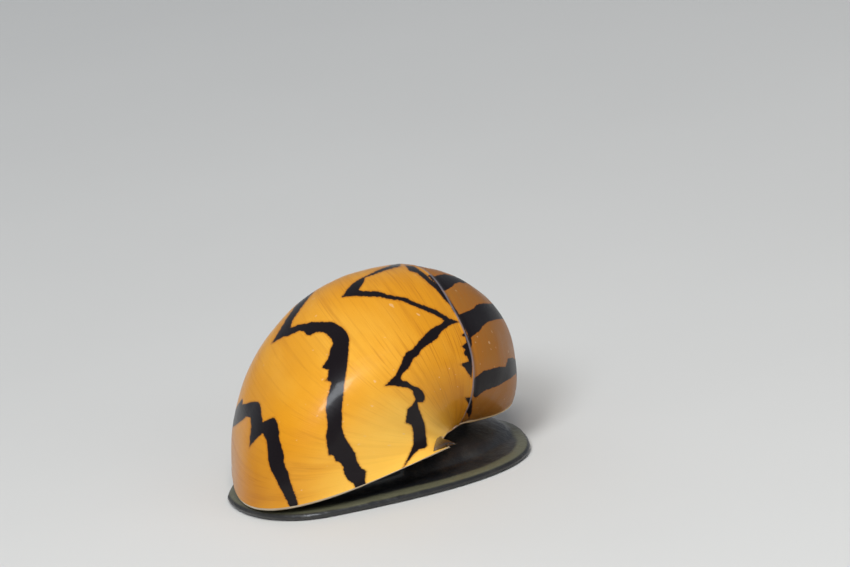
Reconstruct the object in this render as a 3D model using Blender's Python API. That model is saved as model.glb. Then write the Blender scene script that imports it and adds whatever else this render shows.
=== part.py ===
"""A nerite snail, whole, crawling on its sole with its head under the front right of the shell's rim.

Lengths are in millimetres unless a line says shell units. The animal faces -Y, its left side is +X,
+Z is up and the sole lies on z = 0. The shell is one spiral: the rim of the mouth, turned back about
the coiling axis and shrunk towards the apex at a constant rate. In the shell's own frame, in shell
units, the first axis points to the animal's right, the second forward and the third up from the
plane of the rim.
"""

import math

import bmesh
import bpy
from mathutils import Matrix, Vector

MM = 0.001

# Shell. One shell unit is half the width that the rim would have without its shoulder.
UNIT = 11.3
GROWTH = 3.987  # growth in size over one whole turn
AXIS_RISE = math.radians(19.53)
AXIS_YAW = math.radians(-12.04)
APEX_REACH = 1.480
AXIS_FORWARD = 0.183
AXIS_DROP = -0.2565
RIM_DEPTH = 1.426
RIM_POWER = 2.752
RIM_SKEW = -0.256
RIM_EVENNESS = -0.054
HINGE_SLOPE = -0.243
SHOULDER = 0.15  # level along the axis where the rim meets the spire
SHOULDER_BLEND = 0.05
SHOULDER_START = 0.76  # share of the rim, from the left pole, where the slope up to the spire begins
SPIRE_TIP = 0.37  # level along the axis where the spire's sutures meet
SPIRE_BASE = -0.12
SPIRE_BULGE = 0.16
SPIRE_END = 0.8  # radius of the rounded tip
WALL = 0.08
GAP = 0.027  # 0.3 mm

# Stance, in shell units: the floor's slope against the plane of the rim, and its depth at the left pole.
FLOOR_DEPTH = 0.274
FLOOR_FORWARD = 0.156
FLOOR_RIGHT = -0.055
CENTRE_RIGHT = 0.60
CENTRE_FORWARD = 0.45

# Underside of the shell behind the hinge, in shell units.
HEEL_FORWARD = -0.12
HEEL_DROP = -0.09
REAR_FORWARD = -0.38
REAR_DROP = -0.13
UNDER_SLOPE = -0.15

DECK_RIGHT = 0.88
DECK_FORWARD = -0.08
DECK_HALF_WIDTH = 0.40
DECK_HALF_LENGTH = 0.28

# Foot.
FOOT_WIDEST = 0.80  # shell units forward of the left pole
FOOT_LEFT_WIDTH = 7.9
FOOT_RIGHT_WIDTH = 8.9
FOOT_FRONT = 6.3
FOOT_TAIL = 15.5
FOOT_LEAN = 0.22  # how far the front edge falls back to the right
FOOT_TAPER = 0.75
FOOT_EDGE = 0.62
FOOT_TOP = 1.05
BACK_SIDE = -1.6  # the back of the foot, a low dome, to the left of the middle
BACK_REAR = 1.5
BACK_LEVEL = 0.4
BACK_HALF_WIDTH = 6.9
BACK_HALF_LENGTH = 9.2
BACK_HEIGHT = 2.2

# Operculum, a half moon on the right rear of the foot's back.
LID_SIDE = -5.0
LID_REAR = 7.0
LID_LEVEL = 2.37
LID_TURN = math.radians(48)
LID_TILT = math.radians(-18.6)
LID_HALF_WIDTH = 2.4
LID_ROUND = 1.9
LID_STRAIGHT = 0.9
LID_HALF_THICKNESS = 0.25

# Head, turned to the animal's right. Each lump has its place ahead, to the side and up, then its half
# width, half length and half height, and its turn.
HEAD_RIGHT = 1.12  # shell units
HEAD_FORWARD = 0.80
HEAD_TURN = math.radians(60)
CROWN = (-0.45, 0.0, 1.85, 2.3, 2.85, 1.25, 0.0)
SNOUT = (2.35, 0.0, 1.18, 2.15, 1.75, 0.62, 0.0)
UPPER_LIP = (3.45, 0.95, 1.20, 1.15, 0.72, 0.42, 0.22)
LOWER_LIP = (3.25, 0.0, 0.72, 1.25, 0.72, 0.25, 0.0)
MOUTH = (4.20, 0.0, 0.88, 1.2, 0.40, 0.10, 0.0)
EYE_STALK = (1.55, 2.15, 1.14, 0.86, 0.40, 0.38, 0.0)
EYE_SPOT = (1.72, 2.86, 1.24)
EYE = 0.28
TENTACLE_ROOT = 0.34
TENTACLE_TIP = 0.20
LEFT_TENTACLE = ((2.45, 1.6, 1.25), (3.1, 2.3, 1.35), (3.9, 2.35, 1.4), (4.75, 1.8, 1.25))
RIGHT_TENTACLE = ((2.45, -1.6, 1.25), (3.4, -2.45, 1.35), (4.8, -3.0, 1.3), (6.3, -3.05, 1.05))

AXIS = Vector(
    (
        math.cos(AXIS_RISE) * math.cos(AXIS_YAW),
        math.cos(AXIS_RISE) * math.sin(AXIS_YAW),
        math.sin(AXIS_RISE),
    )
)
APEX = Vector((0, AXIS_FORWARD, AXIS_DROP)) + APEX_REACH * AXIS
RATE = math.log(GROWTH) / (2 * math.pi)
AHEAD = (Vector((0, 1, 0)) - AXIS.y * AXIS).normalized()
ABOVE = AXIS.cross(AHEAD)


def clear_scene():
    for thing in list(bpy.data.objects):
        bpy.data.objects.remove(thing, do_unlink=True)
    for group in list(bpy.data.collections):
        bpy.data.collections.remove(group)


def new_collection(name):
    group = bpy.data.collections.new(name)
    bpy.context.scene.collection.children.link(group)
    return group


def stance():
    """The turn and shift from the shell's frame, in millimetres, to the floor's."""
    up = Vector((-FLOOR_RIGHT, -FLOOR_FORWARD, 1)).normalized()
    ahead = (Vector((0, 1, 0)) - up.y * up).normalized()
    right = ahead.cross(up)
    turn = Matrix((-right, -ahead, up))
    middle = turn @ (UNIT * Vector((CENTRE_RIGHT, CENTRE_FORWARD, 0)))
    depth = FLOOR_DEPTH * UNIT * up.z
    return turn.to_4x4(), Vector((-middle.x, -middle.y, depth))


TURN, SHIFT = stance()


def placed(point):
    """A point of the shell's frame, in shell units, on the floor in metres."""
    return (TURN @ (UNIT * Vector(point)) + SHIFT) * MM


def ground(right, forward, level):
    """A point above the floor: shell units across it, millimetres up."""
    spot = placed((right, forward, 0))
    return Vector((spot.x, spot.y, level * MM))


def rim(u):
    """The rim of the mouth, from the left pole at 0 round the front to the shoulder at pi."""
    c, s = math.cos(u), math.sin(u)
    across = 1 - math.copysign(abs(c) ** (2 / RIM_POWER), c)
    forward = RIM_DEPTH * max(s, 0) ** (2 / RIM_POWER) * (1 + RIM_EVENNESS * c)
    point = Vector((across + RIM_SKEW * forward, forward + HINGE_SLOPE * across / 2, 0))
    excess = ((point - APEX).dot(AXIS) - SHOULDER) / SHOULDER_BLEND
    point.x -= SHOULDER_BLEND * (max(excess, 0) + math.log1p(math.exp(-abs(excess)))) / AXIS.x
    return point


def smooth(x):
    x = min(max(x, 0), 1)
    return x * x * (3 - 2 * x)


def section_curve(count):
    """The whorl's cut through a half plane of the axis: out, along, turn of the rim there, and rise."""
    curve = []
    last = None
    for i in range(count):
        u = i / (count - 1)
        arm = rim(u * math.pi) - APEX
        along = arm.dot(AXIS)
        out = arm - along * AXIS
        turn = math.atan2(out.dot(ABOVE), out.dot(AHEAD))
        while last is not None and turn - last > math.pi:
            turn -= 2 * math.pi
        last = turn
        swell = math.exp(RATE * turn)
        rise = SPIRE_TIP * smooth((u - SHOULDER_START) / (1 - SHOULDER_START))
        curve.append((out.length * swell, along * swell, turn, rise))
    return curve


def about_axis(phi, out, along, highest=None):
    """The point at one turn about the coiling axis, out from it and along it, no higher than a level."""
    heading = math.cos(phi) * AHEAD + math.sin(phi) * ABOVE
    point = APEX + along * AXIS + out * heading
    if highest is not None:
        point.z = min(point.z, highest)
    return placed(point)


def whorl_ring(curve, phi, size_by=1.0):
    """The section at one turn of the half plane about the axis."""
    size = math.exp(-RATE * phi)
    spots = []
    for out, along, turn, rise in curve:
        rise *= 1 - math.exp(-RATE * max(phi - turn, 0))
        spots.append((out * size, along * size + rise, phi < turn))
    middle = [sum(spot[axis] for spot in spots) / len(spots) for axis in (0, 1)]
    ring = []
    for out, along, ahead in spots:
        out = middle[0] + (out - middle[0]) * size_by
        along = middle[1] + (along - middle[1]) * size_by
        ring.append(about_axis(phi, out, along, -0.02 if ahead else None))
    return ring


def loft(name, rings, group):
    """A closed body through a row of rings, each ring extruded from the one before it."""
    mesh = bmesh.new()
    row = [mesh.verts.new(point) for point in rings[0]]
    mesh.faces.new(row)
    for ring in rings[1:]:
        edges = [mesh.edges.get((row[i - 1], row[i])) for i in range(len(row))]
        made = bmesh.ops.extrude_edge_only(mesh, edges=edges)["geom"]
        order = {vert: i for i, vert in enumerate(row)}
        fresh = [None] * len(row)
        for vert in made:
            if not isinstance(vert, bmesh.types.BMVert):
                continue
            root = next(e.other_vert(vert) for e in vert.link_edges if e.other_vert(vert) in order)
            fresh[order[root]] = vert
        for vert, point in zip(fresh, ring):
            vert.co = point
        row = fresh
    mesh.faces.new(row)
    return finish_mesh(name, mesh, group)


def finish_mesh(name, mesh, group):
    bmesh.ops.triangulate(mesh, faces=mesh.faces)
    bmesh.ops.recalc_face_normals(mesh, faces=mesh.faces)
    if mesh.calc_volume(signed=True) < 0:
        bmesh.ops.reverse_faces(mesh, faces=mesh.faces)
    data = bpy.data.meshes.new(name)
    mesh.to_mesh(data)
    mesh.free()
    thing = bpy.data.objects.new(name, data)
    group.objects.link(thing)
    return thing


def ball(name, centre, radii, group, turn=0.0, pitch=0.0, detail=20):
    """An ellipsoid, its second radius along the heading."""
    mesh = bmesh.new()
    bmesh.ops.create_uvsphere(mesh, u_segments=detail, v_segments=detail // 2, radius=1)
    place = Matrix.Translation(centre) @ Matrix.Rotation(turn, 4, "Z") @ Matrix.Rotation(pitch, 4, "X")
    place = place @ Matrix.Diagonal((*(r * MM for r in radii), 1))
    bmesh.ops.transform(mesh, verts=mesh.verts, matrix=place)
    return finish_mesh(name, mesh, group)


def prism(name, outline, low, high, group):
    """A closed outline in the shell's plan, in shell units, drawn from one height to another."""
    rings = [[placed((x, y, level)) for x, y in outline] for level in (low, high)]
    return loft(name, rings, group)


def trough(name, profile, left, right, group):
    """A closed outline of the shell's side view, in shell units, drawn from left to right."""
    rings = []
    for across in (left, right):
        rings.append([placed((across, y + UNDER_SLOPE * across, z)) for y, z in profile])
    return loft(name, rings, group)


def slab(name, low, high, group, reach=30):
    """A flat layer over the whole floor, from one height to another."""
    corners = ((-reach, -reach), (reach, -reach), (reach, reach), (-reach, reach))
    return layers(name, [(corners, low), (corners, high)], group)


def tube(name, points, radii, group, sides=10):
    """A tapering feeler through points, in metres, with a radius in millimetres at each."""
    curve = bpy.data.curves.new(name, "CURVE")
    curve.dimensions = "3D"
    curve.resolution_u = 5
    curve.bevel_depth = MM
    curve.bevel_resolution = sides // 4
    curve.use_fill_caps = True
    spline = curve.splines.new("BEZIER")
    spline.bezier_points.add(len(points) - 1)
    for knot, point, radius in zip(spline.bezier_points, points, radii):
        knot.co = point
        knot.handle_left_type = "AUTO"
        knot.handle_right_type = "AUTO"
        knot.radius = radius
    holder = bpy.data.objects.new(name + ".curve", curve)
    group.objects.link(holder)
    bpy.context.view_layer.update()
    graph = bpy.context.evaluated_depsgraph_get()
    mesh = bmesh.new()
    mesh.from_mesh(holder.evaluated_get(graph).to_mesh())
    bpy.data.objects.remove(holder, do_unlink=True)
    bmesh.ops.remove_doubles(mesh, verts=mesh.verts, dist=1e-6)
    return finish_mesh(name, mesh, group)


def combine(thing, others, operation):
    """One Boolean on a collection, applied, and the largest closed surface kept."""
    group = bpy.data.collections.new(thing.name + ".others")
    bpy.context.scene.collection.children.link(group)
    for other in others:
        for holder in list(other.users_collection):
            holder.objects.unlink(other)
        group.objects.link(other)
    for solver in ("EXACT", "MANIFOLD"):
        before = thing.data.copy()
        modifier = thing.modifiers.new(operation.lower(), "BOOLEAN")
        modifier.operation = operation
        modifier.operand_type = "COLLECTION"
        modifier.collection = group
        modifier.solver = solver
        bpy.context.view_layer.objects.active = thing
        with bpy.context.temp_override(object=thing, active_object=thing, selected_objects=[thing]):
            bpy.ops.object.modifier_apply(modifier=modifier.name)
        if keep_largest(thing):
            break
        thing.data = before
    for other in others:
        bpy.data.objects.remove(other, do_unlink=True)
    bpy.data.collections.remove(group)
    return thing


def keep_largest(thing):
    """Drops all but the largest surface, and says whether that one is closed."""
    mesh = bmesh.new()
    mesh.from_mesh(thing.data)
    bmesh.ops.remove_doubles(mesh, verts=mesh.verts, dist=1e-7)
    bmesh.ops.triangulate(mesh, faces=mesh.faces)
    left = set(mesh.faces)
    pieces = []
    while left:
        seed = left.pop()
        piece = {seed}
        edge_of = [seed]
        while edge_of:
            face = edge_of.pop()
            for edge in face.edges:
                for near in edge.link_faces:
                    if near in left:
                        left.remove(near)
                        piece.add(near)
                        edge_of.append(near)
        pieces.append(piece)
    pieces.sort(key=len, reverse=True)
    for piece in pieces[1:]:
        bmesh.ops.delete(mesh, geom=list(piece), context="FACES")
    loose = [vert for vert in mesh.verts if not vert.link_faces]
    bmesh.ops.delete(mesh, geom=loose, context="VERTS")
    closed = bool(mesh.faces) and all(len(edge.link_faces) == 2 for edge in mesh.edges)
    mesh.to_mesh(thing.data)
    mesh.free()
    return closed


def paint(thing, colour, roughness):
    material = bpy.data.materials.new(thing.name)
    material.use_nodes = True
    shader = material.node_tree.nodes["Principled BSDF"]
    shader.inputs["Base Color"].default_value = (*colour, 1)
    shader.inputs["Roughness"].default_value = roughness
    material.diffuse_color = (*colour, 1)
    thing.data.materials.clear()
    thing.data.materials.append(material)


def turns(start, end, step):
    count = max(2, math.ceil((end - start) / step) + 1)
    return [math.radians(start + (end - start) * i / (count - 1)) for i in range(count)]


def suture(stage):
    """How far out from the axis and along it the suture lies, at a stage counted back from the rim."""
    arm = rim(math.pi) - APEX
    along = arm.dot(AXIS)
    out = (arm - along * AXIS).length
    shrink = math.exp(-RATE * stage)
    return out * shrink, SPIRE_TIP - (SPIRE_TIP - along) * shrink


def spire_ring(stage, turn, grow=0.0, inset=1.0):
    """The spire's section from one suture up to the next, closed along the axis."""
    out, along = suture(stage)
    above_out, above_along = suture(stage + 2 * math.pi)
    spots = [(0.006, SPIRE_BASE - grow), (out * 0.8 + grow, SPIRE_BASE - grow)]
    for i in range(9):
        share = i / 8
        bulge = SPIRE_BULGE * (out - above_out) * math.sin(math.pi * share) + grow
        slope = math.atan2(above_along - along, out - above_out)
        spots.append(
            (
                out + (above_out - out) * share + bulge * math.sin(slope),
                along + (above_along - along) * share + bulge * math.cos(slope),
            )
        )
    spots.append((0.006, above_along + grow))
    middle = [sum(axis) / len(spots) for axis in zip(*spots)]
    ring = []
    for spot in spots:
        out, along = (m + (x - m) * inset for x, m in zip(spot, middle))
        ring.append(about_axis(stage + turn, out, along))
    return ring


def build_spire(work, curve, under, grow=0.0):
    """The older whorls, standing out of the body whorl, with a flat base inside it."""
    turn = curve[-1][2]
    pieces = []
    for start, end in ((-9, 120), (120, 240), (240, 356)):
        rings = []
        if start > 0:
            rings.append(spire_ring(math.radians(start - 5), turn, grow, 0.9))
        rings += [spire_ring(stage, turn, grow) for stage in turns(start, end, 9)]
        pieces.append(loft(f"spire.{start}", rings, work))
    pieces.append(axis_cone("spire.core", SPIRE_BASE - grow + 0.001, SPIRE_TIP - 0.1, 0.05, 0.03, work))
    end = SPIRE_END + grow * UNIT
    pieces.append(ball("spire.end", placed(APEX + (SPIRE_TIP - 0.083) * AXIS), (end, end, end), work))
    body = combine(pieces[0], pieces[1:], "UNION")
    if not grow:
        combine(body, [trough("spire.under", under, -6, 6, work)], "DIFFERENCE")
    return body


def axis_cone(name, low, high, wide, narrow, group):
    """A slender cone on the coiling axis, between two distances from the apex."""
    rings = []
    for along, out in ((low, wide), (high, narrow)):
        ring = []
        for i in range(12):
            phi = 2 * math.pi * i / 12
            heading = math.cos(phi) * AHEAD + math.sin(phi) * ABOVE
            ring.append(placed(APEX + along * AXIS + out * heading))
        rings.append(ring)
    return loft(name, rings, group)


def underside_profile(offset=0.0):
    """Side view of the underside, from the hinge back, as points forward and up."""
    return [(0.0, offset), (HEEL_FORWARD, HEEL_DROP + offset), (REAR_FORWARD, REAR_DROP + offset)]


def build_shell(work, curve, under):
    first, last = curve[0], curve[-1]
    closing = [
        (0.03, last[1] - 0.2, last[2], SPIRE_TIP * 0.5),
        (0.03, (first[1] + last[1]) / 2, 0.0, 0.0),
        (0.03, first[1] * 0.93, first[2], 0.0),
    ]
    bounds = curve + closing
    fore = loft("shell_body_whorl", [whorl_ring(bounds, phi) for phi in turns(-140, 60, 8)], work)
    combine(fore, [trough("plane", [(5, 0), (-5, 0), (-5, -9), (5, -9)], -9, 9, work)], "DIFFERENCE")
    hind = [whorl_ring(bounds, math.radians(54), 0.93)]
    hind += [whorl_ring(bounds, phi) for phi in turns(60, 214, 7)]
    heel = [whorl_ring(bounds, math.radians(206), 0.93)]
    heel += [whorl_ring(bounds, phi) for phi in turns(214, 233, 7)]
    back = loft("body.back", hind, work)
    combine(back, [loft("body.heel", heel, work)], "UNION")
    more = [back, axis_cone("body.core", -1.25, -0.05, 0.10, 0.05, work)]
    combine(fore, more, "UNION")
    combine(fore, [trough("under", under, -6, 6, work)], "DIFFERENCE")
    return fore


def rim_outline(shrink, count=26, start=0.03):
    """The rim in plan, drawn in towards its middle, closed along the hinge."""
    spots = [rim(math.pi * (start + (1 - 2 * start) * i / (count - 1))) for i in range(count)]
    middle = Vector((0.75, 0.55, 0))
    return [tuple((middle + (spot - middle) * shrink)[:2]) for spot in spots]


def deck_outline(grow, count=40):
    spots = []
    for i in range(count):
        angle = 2 * math.pi * i / count
        x = DECK_RIGHT + (DECK_HALF_WIDTH + grow) * math.cos(angle)
        spots.append((x, DECK_FORWARD + UNDER_SLOPE * x + (DECK_HALF_LENGTH + grow) * math.sin(angle)))
    return spots


def room(name, inset, low, high, narrow, group, neck=1.0):
    """The space inside the mouth of the shell, from below the rim's plane, drawn in there, to above it."""
    stack = ((low, neck), (low / 2, 0.7 + 0.3 * neck), (0.0, 1.0), (high * 0.45, 0.96), (high * 0.8, 0.86))
    lean = (0.02, -0.12)
    rings = []
    for level, share in (*stack, (high, narrow)):
        right = 0.75 + lean[0] * max(level, 0)
        forward = 0.6 + lean[1] * max(level, 0)
        ring = []
        for x, y in rim_outline(1 - inset / 0.75):
            ring.append(placed((right + (x - 0.75) * share, forward + (y - 0.6) * share, level)))
        rings.append(ring)
    return loft(name, rings, group)


def rounded(right, forward, half_width, half_length, count=40):
    """An outline in plan between an oval and a box."""
    spots = []
    for i in range(count):
        angle = 2 * math.pi * i / count
        c, s = math.cos(angle), math.sin(angle)
        x = right + half_width * math.copysign(abs(c) ** 0.72, c)
        spots.append((x, forward + half_length * math.copysign(abs(s) ** 0.72, s)))
    return spots


def foot_outline(inset=0.0, count=56):
    """The sole's edge: an egg, broad in front and drawn out to the tail."""
    middle = ground(CENTRE_RIGHT, FOOT_WIDEST, 0)
    spots = []
    for i in range(count):
        angle = 2 * math.pi * i / count
        c, s = math.cos(angle), math.sin(angle)
        half_width = (FOOT_LEFT_WIDTH if s > 0 else FOOT_RIGHT_WIDTH) - inset
        if c > 0:
            x, y = half_width * s, -(FOOT_FRONT - inset) * c
            y += FOOT_LEAN * max(-x, 0)
        else:
            x = half_width * math.copysign(abs(s) ** FOOT_TAPER, s)
            y = (FOOT_TAIL - inset) * abs(c) ** FOOT_TAPER
        spots.append((middle.x / MM + x, middle.y / MM + y))
    return spots


def layers(name, stack, group):
    """A body of level outlines, each with its height in millimetres."""
    rings = []
    for spots, level in stack:
        rings.append([Vector((x, y, level)) * MM for x, y in spots])
    return loft(name, rings, group)


def foot_back(name, work, grow=0.0):
    """The back of the foot, which rises under the shell."""
    middle = Vector((BACK_SIDE, BACK_REAR, BACK_LEVEL)) * MM
    radii = (BACK_HALF_WIDTH + grow, BACK_HALF_LENGTH + grow, BACK_HEIGHT + grow)
    return ball(name, middle, radii, work, detail=44)


def build_foot(work):
    insets = (0.25, 0.06, 0.0, 0.12, 0.45, 2.0, 3.4, 4.6)
    levels = (0.0, 0.12, 0.3, 0.5, FOOT_EDGE, 0.72, 0.92, FOOT_TOP)
    foot = layers("foot", [(foot_outline(inset), level) for inset, level in zip(insets, levels)], work)
    back = combine(foot_back("foot.back", work), [slab("foot.under", -5, BACK_LEVEL, work)], "DIFFERENCE")
    return combine(foot, [back], "UNION")


def build_operculum(work):
    """The lid of the shell's mouth, a half moon with its straight side to the front."""
    place = Matrix.Translation(Vector((LID_SIDE, LID_REAR, LID_LEVEL)) * MM)
    place = place @ Matrix.Rotation(LID_TURN, 4, "Z") @ Matrix.Rotation(LID_TILT, 4, "X")
    rings = []
    for level, share in ((-1, 0.94), (-0.6, 1.0), (0.6, 1.0), (1, 0.94)):
        ring = []
        for i in range(40):
            angle = 2 * math.pi * i / 40
            c, s = math.cos(angle), math.sin(angle)
            depth = LID_ROUND * s if s > 0 else -LID_STRAIGHT * abs(s) ** 0.5
            spot = Vector((LID_HALF_WIDTH * c * share, depth * share, LID_HALF_THICKNESS * level))
            ring.append(place @ (spot * MM))
        rings.append(ring)
    return loft("operculum", rings, work)


def facing(right, forward, level, turn, ahead=0.0, side=0.0):
    """A point ahead of a spot on the floor and to its left, along a heading turned to the right."""
    spot = ground(right, forward, level)
    heading = Vector((-math.sin(turn), -math.cos(turn), 0))
    left = Vector((math.cos(turn), -math.sin(turn), 0))
    return spot + (heading * ahead + left * side) * MM


def head_point(ahead, side, level):
    return facing(HEAD_RIGHT, HEAD_FORWARD, level, HEAD_TURN, ahead, side)


def lump(name, shape, work, side=1, grow=0.0, detail=20):
    """An ellipsoid of the head."""
    ahead, across, level, half_width, half_length, half_height, turn = shape
    radii = (half_width + grow, half_length + grow, half_height + grow)
    spot = head_point(ahead, side * across, level)
    return ball(name, spot, radii, work, -HEAD_TURN - side * turn, detail=detail)


def build_head(work, grow=0.0):
    """Neck, broad flat snout, and lips round a crosswise mouth."""
    head = lump("head", CROWN, work, grow=grow, detail=28)
    pieces = [lump("snout", SNOUT, work, grow=grow, detail=28), lump("lip.low", LOWER_LIP, work, grow=grow)]
    pieces += [lump(f"lip.{side}", UPPER_LIP, work, side, grow, 24) for side in (-1, 1)]
    combine(head, pieces, "UNION")
    if not grow:
        combine(head, [lump("mouth", MOUTH, work)], "DIFFERENCE")
    return head


def feeler(name, side, work, grow=0.0):
    """One tentacle, out from the side of the head under the rim."""
    points = [head_point(*knot) for knot in (RIGHT_TENTACLE if side < 0 else LEFT_TENTACLE)]
    radii = (TENTACLE_ROOT, TENTACLE_ROOT * 0.85, TENTACLE_ROOT * 0.72, TENTACLE_TIP)
    return tube(name, points, [radius + grow for radius in radii], work)


def eye_spot(side):
    ahead, across, level = EYE_SPOT
    return head_point(ahead, side * across, level)


def clearance(side, work):
    """The space kept free round one tentacle and eye."""
    ahead, across, level = LEFT_TENTACLE[0]
    root = head_point(ahead - 0.2, side * (across + 0.15), level)
    return [
        feeler("clear.feeler", side, work, 0.28),
        lump("clear.stalk", EYE_STALK, work, side, 0.28),
        ball("clear.root", root, (0.75, 0.75, 0.75), work),
        ball("clear.eye", eye_spot(side), (0.56, 0.56, 0.56), work),
    ]


def settle(thing, parts, colour, roughness):
    for holder in list(thing.users_collection):
        holder.objects.unlink(thing)
    parts.objects.link(thing)
    paint(thing, colour, roughness)


def main():
    clear_scene()
    parts = new_collection("nerite_snail")
    work = new_collection("work")
    curve = section_curve(34)
    under = [(3.0, 0.0)] + underside_profile() + [(-3.0, REAR_DROP), (-3.0, -5.0), (3.0, -5.0)]
    body = build_shell(work, curve, under)
    spire = build_spire(work, curve, under)
    combine(body, [build_spire(work, curve, under, GAP)], "DIFFERENCE")
    combine(body, [room("room", WALL, -0.3, 0.36, 0.6, work)], "DIFFERENCE")

    profile = [(0.05, 0.04)] + underside_profile(0.04) + underside_profile(-0.008)[::-1] + [(0.05, -0.008)]
    deck = trough("columellar_deck", profile, 0.3, 1.45, work)
    combine(deck, [prism("deck.edge", deck_outline(0), -1, 1, work)], "INTERSECT")
    top = 0.04 + GAP
    profile = [(0.2, top)] + underside_profile(top) + underside_profile(-0.3)[::-1] + [(0.2, -0.3)]
    bed = trough("bed", profile, 0.3, 1.45, work)
    combine(bed, [prism("bed.edge", deck_outline(GAP), -1, 1, work)], "INTERSECT")
    combine(body, [bed], "DIFFERENCE")

    foot = build_foot(work)
    head = build_head(work)
    mantle = room("mantle", WALL + 0.05, -0.22, 0.30, 0.55, work, 0.70)
    combine(mantle, [prism("mantle.edge", rounded(0.90, 0.66, 0.86, 0.68), -1, 1, work)], "INTERSECT")
    behind = trough("mantle.behind", [(-3, 3), (0.09, 3), (0.09, -3), (-3, -3)], -6, 6, work)
    below = slab("mantle.below", -5, FOOT_TOP + 0.3, work)
    back = foot_back("mantle.back", work, 0.3)
    combine(mantle, [below, behind, back, build_head(work, 0.3)], "DIFFERENCE")
    combine(foot, [build_head(work, 0.3)], "DIFFERENCE")

    nodes = [
        (foot, (0.2, 0.2, 0.15), 0.5),
        (mantle, (0.1, 0.1, 0.09), 0.5),
        (head, (0.15, 0.15, 0.12), 0.5),
    ]
    for side, word in ((1, "left"), (-1, "right")):
        tentacle = feeler("tentacle_" + word, side, work)
        stalk = lump("eye_stalk_" + word, EYE_STALK, work, side)
        eye = ball("eye_" + word, eye_spot(side), (EYE, EYE, EYE), work, detail=14)
        socket = ball("socket", eye_spot(side), (EYE + 0.12,) * 3, work)
        combine(tentacle, [build_head(work, 0.2)], "DIFFERENCE")
        combine(stalk, [build_head(work, 0.2), socket], "DIFFERENCE")
        combine(mantle, clearance(side, work), "DIFFERENCE")
        combine(foot, clearance(side, work), "DIFFERENCE")
        nodes += [
            (tentacle, (0.2, 0.18, 0.15), 0.5),
            (stalk, (0.2, 0.18, 0.15), 0.5),
            (eye, (0.02, 0.02, 0.02), 0.1),
        ]
    nodes += [
        (body, (0.8, 0.45, 0.05), 0.3),
        (spire, (0.6, 0.3, 0.05), 0.3),
        (deck, (0.7, 0.7, 0.6), 0.3),
        (build_operculum(work), (0.5, 0.35, 0.2), 0.4),
    ]
    spire.name = "shell_spire"
    for thing, colour, roughness in nodes:
        settle(thing, parts, colour, roughness)
    bpy.data.collections.remove(work)


main()
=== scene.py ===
"""The looks of a nerite snail: its striped shell, its soft body and the stage it stands on.

The shell's surface is a spiral. Every point of it has a stage, the turn in radians counted back from the
rim of the mouth, and a place along the rim, from the left pole at 0 round the front to the shoulder at pi.
Both are kept on the mesh, and the growth lines, the stripes and the rest line follow them. Metres, +Z up,
facing -Y.
"""

import math

import bpy
import numpy as np
from mathutils import Matrix, Vector
from mathutils.kdtree import KDTree


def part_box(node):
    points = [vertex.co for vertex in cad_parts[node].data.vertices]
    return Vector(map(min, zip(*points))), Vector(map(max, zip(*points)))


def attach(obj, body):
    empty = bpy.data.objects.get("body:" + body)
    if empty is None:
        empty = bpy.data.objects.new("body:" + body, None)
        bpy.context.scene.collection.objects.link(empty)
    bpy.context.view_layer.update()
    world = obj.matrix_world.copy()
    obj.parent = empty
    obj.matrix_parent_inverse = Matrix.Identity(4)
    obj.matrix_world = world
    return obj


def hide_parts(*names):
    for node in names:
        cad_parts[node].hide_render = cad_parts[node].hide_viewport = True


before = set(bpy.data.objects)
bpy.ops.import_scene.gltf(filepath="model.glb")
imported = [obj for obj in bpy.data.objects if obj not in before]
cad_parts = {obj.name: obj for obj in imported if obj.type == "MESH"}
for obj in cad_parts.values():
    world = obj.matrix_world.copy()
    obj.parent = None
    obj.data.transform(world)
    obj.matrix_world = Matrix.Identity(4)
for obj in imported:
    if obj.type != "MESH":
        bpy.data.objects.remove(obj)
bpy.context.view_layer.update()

bl_info = {
    "name": "Nerite snail",
    "version": (1, 0, 0),
    "blender": (4, 5, 0),
    "location": "View3D > Sidebar > Snail",
    "description": "Shell, soft body and stage of a nerite snail",
    "category": "Object",
}

MM = 0.001

# The shell's spiral, in shell units of UNIT millimetres, the same as its solid's.
UNIT = 11.3
GROWTH = 3.987
AXIS_RISE = math.radians(19.53)
AXIS_YAW = math.radians(-12.04)
APEX_REACH = 1.480
AXIS_FORWARD = 0.183
AXIS_DROP = -0.2565
RIM_DEPTH = 1.426
RIM_POWER = 2.752
RIM_SKEW = -0.256
RIM_EVENNESS = -0.054
HINGE_SLOPE = -0.243
SHOULDER = 0.15
SHOULDER_BLEND = 0.05
SHOULDER_START = 0.76
SPIRE_TIP = 0.37
SPIRE_BULGE = 0.16
UNDER_SLOPE = -0.15
UNDERSIDE = ((0.0, 0.0), (0.12, -0.09), (0.38, -0.13))  # behind the hinge, and level
FLOOR_DEPTH = 0.274
FLOOR_FORWARD = 0.156
FLOOR_RIGHT = -0.055
CENTRE_RIGHT = 0.60
CENTRE_FORWARD = 0.45
HIND_TURN = math.radians(250)  # the older whorl goes in under the newer one here

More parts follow.
